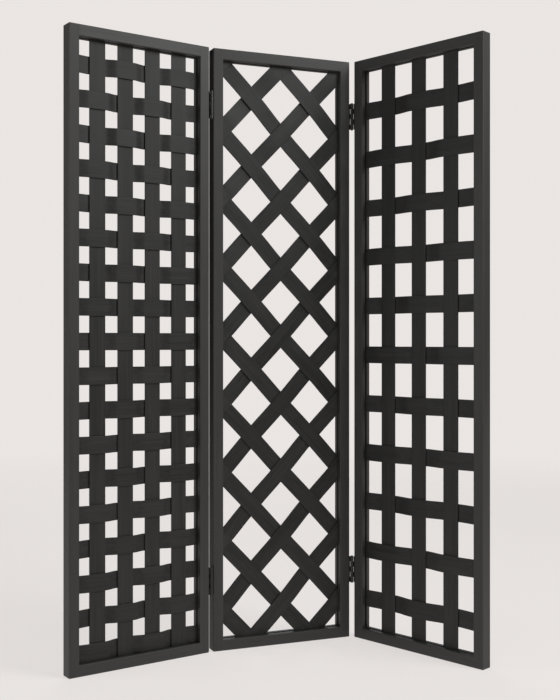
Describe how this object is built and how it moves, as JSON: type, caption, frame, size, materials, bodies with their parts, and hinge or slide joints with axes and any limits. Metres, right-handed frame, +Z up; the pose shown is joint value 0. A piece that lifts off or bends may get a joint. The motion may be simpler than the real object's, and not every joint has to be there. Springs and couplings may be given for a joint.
{
  "type": "folding screen",
  "caption": "Tall free-standing folding screen of hinged wooden frames filled with open woven slats, straight and diagonal, painted charcoal.",
  "frame": {"origin": "centre of the underside of the middle panel's bottom rail, on the floor", "axes": "+Z up, +X along the middle panel towards the right panel, front of the middle panel towards -Y"},
  "size_m": [1.0848, 0.4408, 1.7],
  "materials": {
    "frame_wood": "matte charcoal paint over planed wood",
    "slat_wood": "matte charcoal stain over thin slats, grain showing",
    "hinge_metal": "satin black",
    "pin_metal": "satin black"
  },
  "bodies": {
    "middle_panel": {"middle_left_stile": "frame_wood", "middle_right_stile": "frame_wood", "middle_top_rail": "frame_wood", "middle_bottom_rail": "frame_wood", "middle_diagonal_lattice": "slat_wood", "left_lower_hinge_middle_leaf": "hinge_metal", "left_lower_hinge_pin": "pin_metal", "left_upper_hinge_middle_leaf": "hinge_metal", "left_upper_hinge_pin": "pin_metal", "right_lower_hinge_middle_leaf": "hinge_metal", "right_lower_hinge_pin": "pin_metal", "right_upper_hinge_middle_leaf": "hinge_metal", "right_upper_hinge_pin": "pin_metal"},
    "left_panel": {"left_outer_stile": "frame_wood", "left_inner_stile": "frame_wood", "left_top_rail": "frame_wood", "left_bottom_rail": "frame_wood", "left_upright_slat_1": "slat_wood", "left_upright_slat_2": "slat_wood", "left_upright_slat_3": "slat_wood", "left_upright_slat_4": "slat_wood", "left_crosswise_slat_01": "slat_wood", "left_crosswise_slat_02": "slat_wood", "left_crosswise_slat_03": "slat_wood", "left_crosswise_slat_04": "slat_wood", "left_crosswise_slat_05": "slat_wood", "left_crosswise_slat_06": "slat_wood", "left_crosswise_slat_07": "slat_wood", "left_crosswise_slat_08": "slat_wood", "left_crosswise_slat_09": "slat_wood", "left_crosswise_slat_10": "slat_wood", "left_crosswise_slat_11": "slat_wood", "left_crosswise_slat_12": "slat_wood", "left_crosswise_slat_13": "slat_wood", "left_crosswise_slat_14": "slat_wood", "left_crosswise_slat_15": "slat_wood", "left_crosswise_slat_16": "slat_wood", "left_crosswise_slat_17": "slat_wood", "left_lower_hinge_side_leaf": "hinge_metal", "left_upper_hinge_side_leaf": "hinge_metal"},
    "right_panel": {"right_inner_stile": "frame_wood", "right_outer_stile": "frame_wood", "right_top_rail": "frame_wood", "right_bottom_rail": "frame_wood", "right_upright_slat_1": "slat_wood", "right_upright_slat_2": "slat_wood", "right_upright_slat_3": "slat_wood", "right_crosswise_slat_01": "slat_wood", "right_crosswise_slat_02": "slat_wood", "right_crosswise_slat_03": "slat_wood", "right_crosswise_slat_04": "slat_wood", "right_crosswise_slat_05": "slat_wood", "right_crosswise_slat_06": "slat_wood", "right_crosswise_slat_07": "slat_wood", "right_crosswise_slat_08": "slat_wood", "right_crosswise_slat_09": "slat_wood", "right_crosswise_slat_10": "slat_wood", "right_crosswise_slat_11": "slat_wood", "right_lower_hinge_side_leaf": "hinge_metal", "right_upper_hinge_side_leaf": "hinge_metal"}
  },
  "joints": [
    {"name": "left_fold", "type": "hinge", "parent": "middle_panel", "child": "left_panel", "pos_m": [-0.2225, -0.02, 0.85], "axis": [0, 0, 1], "range_deg": [-11.8, 168.2]},
    {"name": "right_fold", "type": "hinge", "parent": "middle_panel", "child": "right_panel", "pos_m": [0.2225, -0.02, 0.85], "axis": [0, 0, -1], "range_deg": [-67.3, 32.7]}
  ]
}
